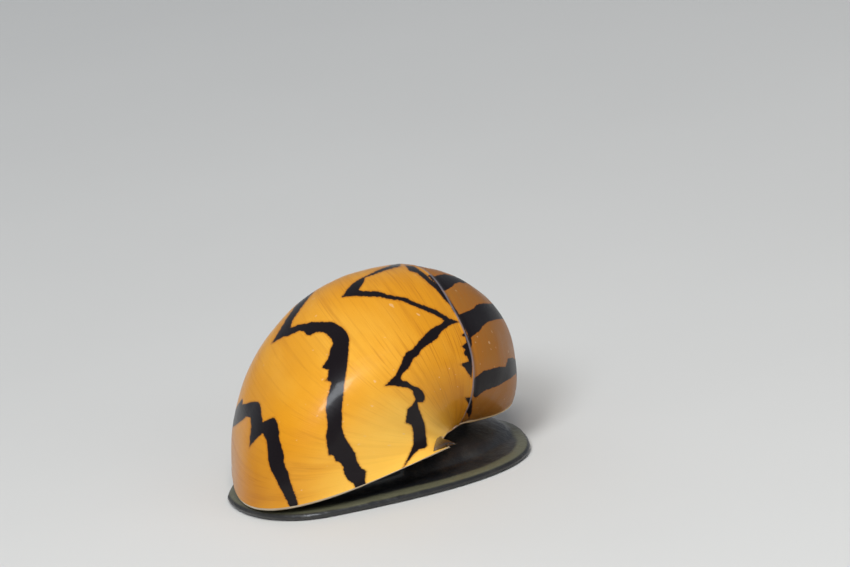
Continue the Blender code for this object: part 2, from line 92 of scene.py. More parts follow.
# Head, in mm, the lumps of its solid, the mouth a little shallower: place ahead, to the side and up, half
# width, half length, half height and turn.
HEAD_RIGHT = 1.12
HEAD_FORWARD = 0.80
HEAD_TURN = math.radians(60)
CROWN = (-0.45, 0.0, 1.85, 2.3, 2.85, 1.25, 0.0)
SNOUT = (2.35, 0.0, 1.18, 2.15, 1.75, 0.62, 0.0)
UPPER_LIP = (3.45, 0.95, 1.20, 1.15, 0.72, 0.42, 0.22)
LOWER_LIP = (3.25, 0.0, 0.72, 1.25, 0.72, 0.25, 0.0)
MOUTH = (4.22, 0.0, 0.88, 1.2, 0.28, 0.09, 0.0)
EYE_STALK = (1.55, 2.15, 1.14, 0.86, 0.40, 0.38, 0.0)
EYE_SPOT = (1.72, 2.86, 1.24)
EYE = 0.28
TENTACLE_ROOT = 0.34
TENTACLE_MIDDLE = 0.26
TENTACLE_TIP = 0.20
LEFT_TENTACLE = ((2.45, 1.6, 1.25), (3.1, 2.3, 1.35), (3.9, 2.35, 1.4), (4.75, 1.8, 1.25))
RIGHT_TENTACLE = ((2.45, -1.6, 1.25), (3.4, -2.45, 1.35), (4.8, -3.0, 1.3), (6.3, -3.05, 1.05))

# Operculum, in mm.
LID_SPOT = (-5.0, 7.0, 2.37)
LID_TURN = math.radians(48)
LID_TILT = math.radians(-18.6)
LID_HALF_WIDTH = 2.4
LID_ROUND = 1.9
LID_STRAIGHT = 0.9
LID_HALF_THICKNESS = 0.25


def length(arms):
    return np.linalg.norm(arms, axis=-1)


def unit(arms):
    return arms / np.maximum(np.linalg.norm(arms, axis=-1, keepdims=True), 1e-12)


def run_along(points):
    """The length of a line of points up to each of them."""
    return np.concatenate(([0], np.cumsum(length(np.diff(points, axis=0)))))


RATE = math.log(GROWTH) / (2 * math.pi)
AXIS = np.array(
    (
        math.cos(AXIS_RISE) * math.cos(AXIS_YAW),
        math.cos(AXIS_RISE) * math.sin(AXIS_YAW),
        math.sin(AXIS_RISE),
    )
)
APEX = np.array((0, AXIS_FORWARD, AXIS_DROP)) + APEX_REACH * AXIS
AHEAD = unit(np.array((0, 1, 0)) - AXIS[1] * AXIS)
ABOVE = np.cross(AXIS, AHEAD)

# The photograph's view: its frame in pixels, the camera's axes, and the left pole's place in it.
FRAME_WIDTH = 850
FRAME_HEIGHT = 567
PIXELS_PER_MM = 14.375
VIEW_RIGHT = np.array((0.1698, 0.9736, -0.1527))
VIEW_UP = np.array((-0.2633, 0.1941, 0.9450))
VIEW_BACK = np.array((0.9496, -0.1203, 0.2893))
POLE_PIXEL = (448.476, 445.935)


def stance():
    """The turn and shift from the shell's frame, in millimetres, to the floor's."""
    up = unit(np.array((-FLOOR_RIGHT, -FLOOR_FORWARD, 1)))
    ahead = unit(np.array((0, 1, 0)) - up[1] * up)
    turn = np.array((-np.cross(ahead, up), -ahead, up))
    middle = turn @ (UNIT * np.array((CENTRE_RIGHT, CENTRE_FORWARD, 0)))
    return turn, np.array((-middle[0], -middle[1], FLOOR_DEPTH * UNIT * up[2]))


TURN, SHIFT = stance()


def placed(points):
    """Points of the shell's frame, in shell units, on the floor in metres."""
    return (UNIT * np.asarray(points) @ TURN.T + SHIFT) * MM


def rim(u):
    """The rim of the mouth at each place along it."""
    c = np.cos(u)
    s = np.maximum(np.sin(u), 0)
    across = 1 - np.sign(c) * np.abs(c) ** (2 / RIM_POWER)
    forward = RIM_DEPTH * s ** (2 / RIM_POWER) * (1 + RIM_EVENNESS * c)
    points = np.stack((across + RIM_SKEW * forward, forward + HINGE_SLOPE * across / 2, 0 * u), -1)
    excess = ((points - APEX) @ AXIS - SHOULDER) / SHOULDER_BLEND
    points[..., 0] -= SHOULDER_BLEND * np.logaddexp(0, excess) / AXIS[0]
    return points


def ease(x):
    x = np.clip(x, 0, 1)
    return x * x * (3 - 2 * x)


def section(u):
    """The whorl's section: distance out from the axis and along it, turn there, and rise to the spire."""
    arm = rim(u) - APEX
    along = arm @ AXIS
    out = arm - along[..., None] * AXIS
    turn = np.unwrap(np.arctan2(out @ ABOVE, out @ AHEAD))
    rise = SPIRE_TIP * ease((u / math.pi - SHOULDER_START) / (1 - SHOULDER_START))
    return length(out), along, turn, rise


def about_axis(turn, out, along):
    heading = np.cos(turn)[..., None] * AHEAD + np.sin(turn)[..., None] * ABOVE
    return APEX + along[..., None] * AXIS + out[..., None] * heading


def whorl(stage, spot):
    """The body whorl's surface, from a section's columns."""
    out, along, turn, rise = spot
    size = np.exp(-RATE * stage)
    return about_axis(turn + stage, out * size, along * size + rise * (1 - size))


def suture(stage):
    out, along, _, _ = (column[0] for column in section(np.array([math.pi, math.pi])))
    size = np.exp(-RATE * stage)
    return out * size, SPIRE_TIP - (SPIRE_TIP - along) * size


def underside(points):
    """The level of the shell's underside at each point, behind the hinge."""
    behind = UNDER_SLOPE * points[..., 0] - points[..., 1]
    return np.interp(behind, *zip(*UNDERSIDE))


def in_view(points):
    """Where points in metres stand in the photograph's frame, in pixels."""
    arm = (points - placed((0, 0, 0))) / MM * PIXELS_PER_MM
    return np.stack((POLE_PIXEL[0] + arm @ VIEW_RIGHT, POLE_PIXEL[1] - arm @ VIEW_UP), -1)


# Outlines of the markings on the left side, in the photograph's pixels.
STRIPE_FRONT = (
    (227, 424), (234, 409), (238, 406), (252, 402), (257, 402), (259, 404), (262, 422), (270, 418),
    (274, 417), (277, 422), (279, 430), (279, 437), (284, 454), (284, 460), (286, 467), (289, 472),
    (291, 482), (296, 496), (299, 508), (291, 508), (271, 469), (268, 459), (267, 445), (265, 437),
    (262, 433), (254, 440), (248, 448), (250, 425), (249, 418), (245, 417), (231, 428), (226, 431),
)
STRIPE_MIDDLE = (
    (312, 287), (305, 291), (284, 320), (269, 344), (281, 337), (286, 336), (298, 331), (303, 331),
    (306, 335), (310, 335), (316, 332), (322, 332), (326, 334), (331, 339), (333, 343), (330, 350),
    (328, 358), (322, 367), (329, 369), (328, 376), (325, 380), (331, 381), (330, 388), (327, 398),
    (326, 408), (328, 425), (326, 435), (329, 455), (333, 453), (336, 460), (340, 461), (343, 465),
    (344, 472), (348, 479), (354, 483), (357, 492), (368, 492), (365, 480), (366, 470), (361, 467),
    (357, 460), (355, 452), (344, 434), (342, 425), (342, 410), (344, 385), (348, 360), (349, 345),
    (349, 338), (347, 333), (343, 328), (332, 322), (312, 322), (297, 325), (289, 328), (291, 321),
    (296, 313), (314, 289),
)
STRIPE_REAR = (
    (398, 261), (375, 270), (355, 281), (350, 285), (341, 297), (350, 296), (380, 297), (389, 299),
    (400, 300), (430, 312), (440, 317), (444, 320), (442, 323), (433, 327), (428, 331), (421, 338),
    (412, 349), (407, 351), (403, 357), (401, 363), (395, 375), (384, 385), (395, 385), (408, 387),
    (412, 390), (415, 398), (414, 401), (411, 405), (407, 408), (405, 422), (411, 424), (413, 432),
    (413, 444), (410, 452), (402, 468), (414, 453), (419, 449), (424, 448), (427, 445), (424, 423),
    (418, 407), (417, 402), (423, 401), (424, 400), (424, 394), (422, 390), (418, 387), (413, 385),
    (407, 381), (402, 380), (400, 377), (403, 372), (408, 368), (413, 358), (418, 355), (421, 349),
    (438, 337), (440, 332), (445, 328), (451, 324), (460, 322), (449, 318), (435, 309), (413, 301),
    (405, 297), (395, 296), (386, 294), (378, 291), (362, 291), (358, 290), (363, 282), (364, 277),
    (385, 269), (400, 265),
)
REST_BAND = (
    (404, 264), (409, 270), (416, 272), (421, 276), (430, 284), (436, 289), (441, 295), (445, 300),
    (450, 305), (453, 311), (457, 316), (461, 321), (463, 327), (467, 334), (465, 325), (461, 316),
    (457, 309), (452, 302), (446, 295), (440, 288), (432, 280), (424, 273), (414, 266),
)
TEETH_HIGH = (
    (466, 331), (461, 335), (465, 337), (466, 343), (461, 346), (465, 349), (463, 353), (467, 357),
    (469, 361), (460, 364), (464, 367), (471, 378), (472, 370), (471, 350), (469, 338),
)
TEETH_LOW = (
    (465, 398), (470, 408), (465, 411), (468, 415), (469, 421), (472, 414), (473, 404), (472, 397),
)
OLD_PATCH_HIGH = (
    (428, 275), (445, 273), (462, 278), (461, 281), (455, 283), (452, 286), (442, 291), (438, 287),
    (434, 281),
)
OLD_PATCH_MIDDLE = (
    (459, 314), (474, 308), (477, 304), (484, 303), (497, 303), (503, 306), (506, 319), (498, 319),
    (488, 322), (483, 326), (480, 331), (475, 334), (472, 337), (473, 343), (471, 348), (468, 332),
)
OLD_PATCH_LOW = (
    (473, 379), (478, 376), (484, 371), (500, 367), (507, 367), (509, 359), (514, 358), (519, 362),
    (520, 372), (512, 379), (500, 386), (486, 391), (480, 395), (476, 399), (474, 397),
)
SEEN_MARKINGS = (
    STRIPE_FRONT, STRIPE_MIDDLE, STRIPE_REAR, REST_BAND, TEETH_HIGH, TEETH_LOW, OLD_PATCH_HIGH,
    OLD_PATCH_MIDDLE, OLD_PATCH_LOW,
)

# The same markings carried on over the far side: stage in degrees, place along the rim in shares, and width
# in mm. A share over 1 lies on the spire.
FAR_FRONT = ((22, 0.545, 1.1), (14, 0.585, 1.2), (20, 0.62, 1.0), (33, 0.68, 1.3), (47, 0.79, 1.4),
             (38, 0.835, 0.7), (52, 0.90, 1.2), (66, 1.0, 0.7))
FAR_FIRST = ((-2, 0.66, 0.7), (9, 0.74, 1.0), (3, 0.775, 0.6), (20, 0.87, 1.2), (15, 0.90, 0.6),
             (30, 1.0, 0.6))
FAR_MIDDLE = ((60, 0.68, 1.2), (65, 0.735, 1.3), (72, 0.78, 1.2), (61, 0.82, 0.7), (78, 0.90, 1.3),
              (72, 0.925, 0.6), (95, 1.0, 0.7))
FAR_REAR = ((111, 0.81, 0.5), (116, 0.85, 0.8), (106, 0.885, 0.6), (121, 0.94, 1.0), (131, 1.0, 0.9))
FAR_OLD_FIRST = ((118, 0.77, 0.9), (134, 0.835, 1.2), (128, 0.86, 0.6), (150, 0.94, 1.1), (160, 1.0, 0.9))
FAR_OLD_HIGH = ((133, 0.67, 1.4), (142, 0.715, 1.3), (152, 0.765, 1.0), (145, 0.79, 0.6), (172, 0.90, 1.1),
                (167, 0.925, 0.5), (190, 1.0, 0.8))
FAR_OLD_MIDDLE = ((156, 0.61, 1.4), (163, 0.65, 1.3), (174, 0.70, 1.0), (168, 0.72, 0.6), (199, 0.83, 1.1),
                  (194, 0.855, 0.5), (226, 1.0, 0.8))
FAR_OLD_LOW = ((168, 0.47, 1.3), (174, 0.51, 1.3), (188, 0.57, 1.0), (183, 0.59, 0.6), (214, 0.70, 1.1),
               (208, 0.72, 0.5), (250, 0.86, 0.9), (286, 1.0, 0.5))
SPIRE_STRIPES = tuple(
    ((turn, 1.0, 0.75), (turn + 13, 1.35, 0.6), (turn + 5, 1.5, 0.35), (turn + 20, 1.98, 0.3))
    for turn in (30, 66, 95, 131, 160, 190, 226, 262, 300, 335)
)
FAR_MARKINGS = (
    FAR_FRONT, FAR_FIRST, FAR_MIDDLE, FAR_REAR, FAR_OLD_FIRST, FAR_OLD_HIGH, FAR_OLD_MIDDLE,
    FAR_OLD_LOW, *SPIRE_STRIPES,
)
STROKE_REACH = 2  # mm from a stroke within which its distance is worked out
STROKE_STEPS = 60  # between one given point of a stroke and the next


# Making pieces


def deselect():
    if bpy.context.object and bpy.context.object.mode != "OBJECT":
        bpy.ops.object.mode_set(mode="OBJECT")
    bpy.ops.object.select_all(action="DESELECT")


def choose(*things):
    deselect()
    for thing in things:
        thing.select_set(True)
    bpy.context.view_layer.objects.active = things[-1]


def finish_with(thing, kind, **settings):
    """Adds a modifier, sets it and applies it."""
    choose(thing)
    modifier = thing.modifiers.new(kind.title(), kind)
    for name, value in settings.items():
        setattr(modifier, name, value)
    bpy.ops.object.modifier_apply(modifier=modifier.name)


def sheet(name, points):
    """A primitive grid whose rows and columns are laid on the given rows of points."""
    rows, columns = points.shape[:2]
    deselect()
    bpy.ops.mesh.primitive_grid_add(x_subdivisions=columns - 1, y_subdivisions=rows - 1, size=2)
    thing = bpy.context.object
    thing.name = thing.data.name = name
    thing.data.vertices.foreach_set("co", np.asarray(points, np.float32).reshape(-1))
    thing.data.update()
    return thing


def note(thing, **values):
    """Keeps numbers for each point of the mesh, for the materials."""
    for name, value in values.items():
        layer = thing.data.attributes.new(name, "FLOAT", "POINT")
        numbers = np.asarray(value, np.float32).reshape(-1)
        layer.data.foreach_set("value", np.broadcast_to(numbers, len(layer.data)).copy())


def face_out(thing, centre):
    """Turns the faces so that most of them look away from a point inside."""
    thing.data.update()
    outward = sum((face.center - centre).dot(face.normal) * face.area for face in thing.data.polygons)
    if outward < 0:
        thing.data.flip_normals()


def edited(thing, *steps):
    """Takes steps in edit mode, with every point chosen at first."""
    choose(thing)
    bpy.ops.object.mode_set(mode="EDIT")
    bpy.ops.mesh.select_all(action="SELECT")
    for step, settings in steps:
        step(**settings)
    bpy.ops.object.mode_set(mode="OBJECT")
    return thing


def joined(name, things):
    """One piece of several, with the points that meet made one."""
    choose(*things)
    bpy.ops.object.join()
    thing = bpy.context.object
    thing.name = thing.data.name = name
    return edited(thing, (bpy.ops.mesh.remove_doubles, {"threshold": 4e-6}))


def closed_off(thing):
    """Fills the open ends and turns every face out."""
    return edited(
        thing,
        (bpy.ops.mesh.select_all, {"action": "DESELECT"}),
        (bpy.ops.mesh.select_non_manifold, {}),
        (bpy.ops.mesh.edge_face_add, {}),
        (bpy.ops.mesh.select_all, {"action": "SELECT"}),
        (bpy.ops.mesh.normals_make_consistent, {"inside": False}),
    )


def ball(name, centre, radius, segments, rings):
    deselect()
    bpy.ops.mesh.primitive_uv_sphere_add(
        segments=segments, ring_count=rings, radius=radius, location=centre
    )
    thing = bpy.context.object
    thing.name = thing.data.name = name
    bpy.ops.object.transform_apply(location=True, rotation=True, scale=True)
    return thing


def points_of(thing):
    found = np.empty(len(thing.data.vertices) * 3, np.float32)
    thing.data.vertices.foreach_get("co", found)
    return found.reshape(-1, 3).astype(float)


def wear(thing, material, slot, *nodes):
    """Gives a finished piece its material, its body and the solids it stands for; the slot is not used."""
    choose(thing)
    bpy.ops.object.shade_smooth()
    thing.data.materials.clear()
    thing.data.materials.append(material)
    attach(thing, "root")
    if nodes:
        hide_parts(*nodes)


# Materials


class Number:
    """A number in a material, on which ordinary arithmetic adds Math nodes."""

    def __init__(self, finish, socket):
        self.finish = finish
        self.socket = socket

    def maths(self, operation, *values):
        made = self.finish.node("ShaderNodeMath", {"operation": operation}, *values)
        return Number(self.finish, made.outputs[0])

    def __add__(self, other):
        return self.maths("ADD", self, other)

    def __radd__(self, other):
        return self.maths("ADD", other, self)

    def __sub__(self, other):
        return self.maths("SUBTRACT", self, other)

    def __rsub__(self, other):
        return self.maths("SUBTRACT", other, self)

    def __mul__(self, other):
        return self.maths("MULTIPLY", self, other)

    def ramp(self, low, high):
        """0 at low, 1 at high, eased between them."""
        settings = {"interpolation_type": "SMOOTHSTEP"}
        made = self.finish.node("ShaderNodeMapRange", settings, self, low, high, 0, 1)
        return Number(self.finish, made.outputs["Result"])

    def largest(self, other):
        return self.maths("MAXIMUM", self, other)

    def smallest(self, other):
        return self.maths("MINIMUM", self, other)


class Finish:
    """A material under construction."""

    def __init__(self, name, **constants):
        self.material = bpy.data.materials.new(name)
        self.material.use_nodes = True
        self.tree = self.material.node_tree
        self.shader = self.tree.nodes["Principled BSDF"]
        for label, value in constants.items():
            self.shader.inputs[label.replace("_", " ")].default_value = value

    def node(self, kind, settings=None, *values, **named):
        """A node of a type, its settings first, then the values or links of its sockets."""
        made = self.tree.nodes.new(kind)
        for label, value in (settings or {}).items():
            setattr(made, label, value)
        sockets = [(made.inputs[i], value) for i, value in enumerate(values)]
        sockets += [(made.inputs[label.replace("_", " ")], value) for label, value in named.items()]
        for socket, value in sockets:
            if value is None:
                continue
            if isinstance(value, (Number, bpy.types.NodeSocket)):
                self.tree.links.new(getattr(value, "socket", value), socket)
            else:
                socket.default_value = value
        return made

    def feature(self, name):
        """A number kept on the mesh."""
        return Number(self, self.node("ShaderNodeAttribute", {"attribute_name": name}).outputs["Fac"])

    def place(self):
        return self.node("ShaderNodeTexCoord").outputs["Object"]

    def joined(self, x, y, z):
        return self.node("ShaderNodeCombineXYZ", None, x, y, z).outputs[0]

    def noise(self, where, scale, detail, roughness):
        values = {"Vector": where, "Scale": scale, "Detail": detail, "Roughness": roughness}
        return Number(self, self.node("ShaderNodeTexNoise", None, **values).outputs["Fac"])

    def mix(self, share, first, second):
        made = self.node("ShaderNodeMix", {"data_type": "RGBA"}, Factor=share)
        for socket, value in ((made.inputs[6], first), (made.inputs[7], second)):
            if isinstance(value, bpy.types.NodeSocket):
                self.tree.links.new(value, socket)
            else:
                socket.default_value = (*value[:3], 1)
        return made.outputs[2]

    def bump(self, height, strength, distance, normal=None):
        values = {"Strength": strength, "Distance": distance, "Height": height}
        if normal is not None:
            values["Normal"] = normal
        return self.node("ShaderNodeBump", None, **values).outputs[0]

    def give(self, label, value):
        self.tree.links.new(getattr(value, "socket", value), self.shader.inputs[label])


# The shell's surface

ROWS = 280  # steps back in stage
COLUMNS = 250  # steps along the rim
SPIRE_ROWS = 12
TIP_RADIUS = 0.41  # mm, of the ball that closes the spire
TIP_SINK = 0.044
TIP_STAGE = 14.0
REST_STAGE = 2.025
LONG_PAST = 6.0  # mm past the rest, for the spire, which is all older
FAR_AWAY = 2.0  # mm from a marking, where it no longer matters
LIP = 0.42  # mm of wall at the lip
LIP_INNER = 0.45  # mm of wall more further in
LIP_END = 0.12  # share of the wall left at both ends of the rim
CALLUS_BULGE = 0.06  # forward
CALLUS_SWELL = 0.020  # half its thickness
CALLUS_KNOB = 0.010  # more near the left pole

# Growth ripples: wave, and height in mm. Then the rest line's ridge, the step behind it and its groove.
RIPPLE_TURN = 15.6
RIPPLES = ((4.2, 0.022), (2.3, 0.016), (1.1, 0.010), (0.62, 0.006))
REST_RIDGE = 0.060
REST_STEP = 0.045
REST_GROOVE = 0.05


def even_places(count):
    """Places along the rim at even lengths of it."""
    fine = np.linspace(0, math.pi, 8001)
    run = run_along(rim(fine))
    return np.interp(np.linspace(0, run[-1], count), run, fine)


def last_stages(spot):
    """How far back each column of the body whorl shows, to the underside or to under the newer whorl."""
    stages = np.radians(np.arange(9, 366, 0.25))
    ends = []
    for column in zip(*spot):
        points = whorl(stages, [np.full_like(stages, value) for value in column])
        below = np.nonzero(points[:, 2] < underside(points))[0]
        end = stages[below[0]] if len(below) else math.inf
        ends.append(min(end, HIND_TURN - column[2]))
    return np.array(ends)


def even_stages(ends, count):
    """Stages from the rim to each end, spaced by the shrinking size of the whorl."""
    share = np.linspace(0, 1, count)[:, None]
    return -np.log(1 - share * (1 - np.exp(-RATE * ends))) / RATE


def spire_surface(stages, shares):
    """The older whorls, from each suture up to the next."""
    out, along = suture(stages)
    above_out, above_along = suture(stages + 2 * math.pi)
    slope = np.arctan2(above_along - along, out - above_out)
    bulge = SPIRE_BULGE * (out - above_out) * np.sin(math.pi * shares)
    return about_axis(
        stages + SHOULDER_TURN + 0 * shares,
        out + (above_out - out) * shares + bulge * np.sin(slope),
        along + (above_along - along) * shares + bulge * np.cos(slope),
    )


def normals_of(points):
    found = unit(np.cross(np.gradient(points, axis=0), np.gradient(points, axis=1)))
    middle = points.reshape(-1, 3).mean(0)
    return found * np.sign(((points - middle) * found).sum())


def relief(stages, shares, speed):
    """Height of the growth ripples and of the rest line over the smooth whorl, in mm."""
    rng = np.random.default_rng(11)
    height = np.zeros_like(stages)
    for wave, tall in RIPPLES:
        drift = 0.8 * np.sin(3 * shares * math.pi + rng.uniform(0, 6)) * rng.uniform(0.4, 1)
        height += tall * np.sin(stages * RIPPLE_TURN / wave + drift + rng.uniform(0, 6))
    past = (stages - REST_STAGE) * speed
    height += REST_RIDGE * np.exp(-((past + 0.05) / 0.16) ** 2) - REST_STEP * ease((past + 0.1) / 0.5)
    height -= REST_GROOVE * np.exp(-((past - 0.28) / 0.22) ** 2)
    return height * ease((1 - shares) / 0.05) * ease(stages / 0.02 + 0.3)


PLACES = even_places(COLUMNS + 1)
SPOT = section(PLACES)
SHOULDER_TURN = SPOT[2][-1]
STAGES = even_stages(last_stages(SPOT), ROWS + 1)
SMOOTH = placed(whorl(STAGES, [column + 0 * STAGES for column in SPOT]))
OUTWARD = normals_of(SMOOTH)
SHARES = np.broadcast_to(PLACES / math.pi, STAGES.shape)
SPEED = length(np.gradient(SMOOTH, axis=0)) / MM
SPEED /= np.maximum(np.gradient(STAGES, axis=0), 1e-9)
PAST_REST = (STAGES - REST_STAGE) * SPEED
RELIEF = relief(STAGES, SHARES, SPEED) * MM


def off_outline(x, y, outline):
    """Distance from each point to a closed outline, less than 0 inside it."""
    away = np.full(x.shape, np.inf)
    within = np.zeros(x.shape, bool)
    for (x0, y0), (x1, y1) in zip(outline, outline[1:] + outline[:1]):
        run, climb = x1 - x0, y1 - y0
        share = np.clip(((x - x0) * run + (y - y0) * climb) / (run * run + climb * climb), 0, 1)
        away = np.minimum(away, np.hypot(x - x0 - share * run, y - y0 - share * climb))
        if climb:
            crosses = (y < y0) != (y < y1)
            within ^= crosses & (x < x0 + (y - y0) * run / climb)
    return np.where(within, -away, away)


def nearest(points, targets, extra=None):
    """Distance in mm from each point to the nearest target, less what is extra there."""
    tree = KDTree(len(targets))
    for i, target in enumerate(targets):
        tree.insert(target, i)
    tree.balance()
    found = np.empty(len(points))
    for i, point in enumerate(points):
        _, index, distance = tree.find(point)
        found[i] = distance / MM - (extra[index] if extra is not None else 0)
    return found


def seen_markings():
    """Signed distance in mm to the markings of the left side, for each point of the body whorl's grid."""
    x, y = np.moveaxis(in_view(SMOOTH), -1, 0)
    facing = (OUTWARD @ VIEW_BACK > 0) & (SHARES < 0.9)
    depth = np.full(STAGES.shape, FAR_AWAY)
    for outline in SEEN_MARKINGS:
        away = off_outline(x[facing], y[facing], outline) / PIXELS_PER_MM
        depth[facing] = np.minimum(depth[facing], away)
    black = SMOOTH[facing & (depth < 0)]
    depth[~facing] = np.minimum(nearest(SMOOTH[~facing], black), FAR_AWAY)
    return depth.reshape(-1)


def far_markings(points):
    """Signed distance in mm to the strokes of the far side."""
    depth = np.full(len(points), FAR_AWAY)
    for stroke in FAR_MARKINGS:
        knots = np.array(stroke, float)
        spread = np.linspace(0, len(knots) - 1, STROKE_STEPS * (len(knots) - 1))
        stages, shares, widths = (np.interp(spread, np.arange(len(knots)), knots[:, k]) for k in range(3))
        uneven = 0.72 + 0.16 * np.abs(2 * (spread * 2.3 % 1) - 1)
        for surface, keep in ((on_whorl, shares <= 1), (on_spire, shares >= 1)):
            if not keep.any():
                continue
            targets = placed(surface(np.radians(stages[keep]), shares[keep]))
            middle = targets.mean(0)
            radius = length(targets - middle).max() + STROKE_REACH * MM
            near = length(points - middle) < radius
            found = nearest(points[near], targets, (widths * uneven)[keep] / 2)
            depth[near] = np.minimum(depth[near], found)
    return depth


def on_whorl(stages, shares):
    return whorl(stages, [np.interp(shares * math.pi, PLACES, column) for column in SPOT])


def on_spire(stages, shares):
    return spire_surface(stages, shares - 1)


def build_shell():
    """The body whorl and the spire, one sheet, with their stage, place and markings kept on them."""
    body = sheet("shell", SMOOTH + OUTWARD * RELIEF[..., None])
    marking = np.minimum(seen_markings(), far_markings(SMOOTH.reshape(-1, 3)))
    note(body, marking=marking, stage=STAGES, across=SHARES, past_rest=PAST_REST)
    pieces = [body]
    for turn, rows in ((0, SPIRE_ROWS), (1, SPIRE_ROWS // 2)):
        edge = STAGES[:, -1] + 2 * math.pi * turn
        stages, shares = np.meshgrid(edge, np.linspace(0, 1, rows + 1), indexing="ij")
        past = np.full(stages.shape, LONG_PAST)
        if turn == 0:
            past[:, 0] = PAST_REST[:, -1]
        spire = placed(spire_surface(stages, shares))
        piece = sheet(f"spire_{turn}", spire)
        marking = far_markings(spire.reshape(-1, 3))
        note(piece, marking=marking, stage=stages, across=1 - 0.2 * shares, past_rest=past)
        pieces.append(piece)
    centre = Vector(SMOOTH.reshape(-1, 3).mean(0))
    for piece in pieces:
        face_out(piece, centre)
    tip = placed(APEX + (SPIRE_TIP - TIP_SINK) * AXIS)
    apex = ball("apex", tip, TIP_RADIUS * MM, 32, 16)
    note(apex, marking=FAR_AWAY, stage=TIP_STAGE, across=0.9, past_rest=LONG_PAST)
    return joined("shell", [apex, *pieces[1:], body])


def build_lining():
    """The lip's rounded edge and the inside of the mouth."""
    columns = np.arange(0, COLUMNS - 3, 2)
    ahead = unit(-np.gradient(SMOOTH, axis=0)[0][columns])
    outward = OUTWARD[0][columns]
    start = SMOOTH[0][columns] + outward * RELIEF[0][columns][:, None]
    places = PLACES[columns]
    ends = LIP_END + (1 - LIP_END) * ease(places / 0.45) * ease((math.pi - places) / 0.30)
    reach = (LIP / 2 * MM * ends)[:, None]
    rows = []
    for angle in np.linspace(0, math.pi, 9):
        rows.append(start + reach * (outward * (math.cos(angle) - 1) + ahead * math.sin(angle)))
    for k in range(1, 24):
        wall = ((LIP + LIP_INNER * ease(k / 12)) * MM * ends)[:, None]
        rows.append(SMOOTH[3 * k][columns] - OUTWARD[3 * k][columns] * wall)
    return sheet("shell_lining", np.array(rows))


def build_callus():
    """The smooth shelf of the columella across the underside, thickest near the left pole."""
    closing = STAGES[-1] < HIND_TURN - SPOT[2] - 1e-6
    ends = whorl(STAGES[-1], SPOT)[closing]
    ends = np.concatenate((np.zeros((1, 3)), ends))
    run = run_along(ends)
    share = np.linspace(0, 1, 72)
    back = np.stack([np.interp(share * run[-1], run, ends[:, k]) for k in range(3)], -1)
    across = share * back[-1, 0]
    forward = UNDER_SLOPE * across + CALLUS_BULGE * np.sin(math.pi * share) ** 0.5
    front = np.stack((across, forward, 0 * across), -1)
    swell = CALLUS_SWELL + CALLUS_KNOB * np.exp(-((share - 0.07) / 0.05) ** 2)
    swell *= ease(share / 0.16)
    rows = []
    for angle in np.linspace(0, 2 * math.pi, 57)[:-1]:
        step = 0.5 - 0.5 * math.cos(angle)
        row = back * (1 - step) + front * step
        lift = -math.sin(angle) if angle < math.pi else -1.3 * math.sin(angle)
        row[:, 2] = underside(row) + swell * np.sign(lift) * abs(lift) ** 0.6
        rows.append(row)
    rows.append(rows[0])
    piece = sheet("callus", placed(np.array(rows)))
    note(piece, share=np.broadcast_to(share, (len(rows), len(share))))
    return closed_off(joined("callus", [piece]))


FLESH_NODES = (
    "foot", "mantle", "head", "tentacle_left", "tentacle_right", "eye_stalk_left", "eye_stalk_right",
)
SWELL = 0.17  # closes the gaps between the solids, then is taken off again
GRAIN = 0.165  # mm, of the skin's mesh
SKIN_FAR = 3.0  # mm up to which distances are kept
RING_LEVEL = 0.3  # mm up, where the foot's edge is measured


def build_flesh():
    """One skin over foot, mantle, head, tentacles and eye stalks."""
    copies = []
    for node in FLESH_NODES:
        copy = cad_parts[node].copy()
        copy.data = copy.data.copy()
        for label in list(copy.keys()):
            del copy[label]
        copy.parent = None
        bpy.context.scene.collection.objects.link(copy)
        edited(
            copy,
            (bpy.ops.mesh.remove_doubles, {"threshold": 1e-6}),
            (bpy.ops.mesh.normals_make_consistent, {"inside": False}),
        )
        finish_with(copy, "DISPLACE", strength=SWELL * MM, mid_level=0)
        copies.append(copy)
    skin = joined("flesh", copies)
    skin.data.materials.clear()
    finish_with(skin, "REMESH", mode="VOXEL", voxel_size=GRAIN * MM, adaptivity=0)
    finish_with(skin, "SMOOTH", factor=0.5, iterations=3)
    finish_with(skin, "DISPLACE", strength=-SWELL * MM, mid_level=0)
    finish_with(skin, "CORRECTIVE_SMOOTH", factor=0.5, iterations=4, smooth_type="LENGTH_WEIGHTED")
    shape_head(skin)
    keep_skin(skin)
    return skin


def keep_skin(skin):
    """Notes how far each point of the skin lies in from the foot's edge and from the parts of the head."""
    points = points_of(skin)
    foot = points_of(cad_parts["foot"])
    ring = foot[abs(foot[:, 2] - RING_LEVEL * MM) < 0.02 * MM]
    middle = ring.mean(0)
    angles = np.arctan2(ring[:, 1] - middle[1], ring[:, 0] - middle[0])
    order = np.argsort(angles)
    radii = length(ring[order, :2] - middle[:2])
    at = np.arctan2(points[:, 1] - middle[1], points[:, 0] - middle[0])
    outer = np.interp(at, angles[order], radii, period=2 * math.pi)
    inward = (outer - length(points[:, :2] - middle[:2])) / MM
    note(skin, inward=inward, level=points[:, 2] / MM)
    local = in_head(points)
    gaps = {"head": head_field(local), "mouth": ellipsoid(local, MOUTH), "feeler": to_tentacles(local)}
    note(skin, **{name: np.minimum(gap, SKIN_FAR) for name, gap in gaps.items()})


# The head's form

# In mm: below HEAD_LEVEL the skin is the foot's, and behind HEAD_REAR the mantle's. Finer faces are kept to
# the sides and ahead up to FINE_SIDE and FINE_AHEAD, from FINE_START on. Beyond TIPS_AHEAD there are only
# the tips of the tentacles.
HEAD_LEVEL = 0.3
HEAD_REAR = -0.8
FINE_SIDE = 3.8
FINE_START = -0.5
FINE_AHEAD = 6.8
TIPS_AHEAD = 4.45


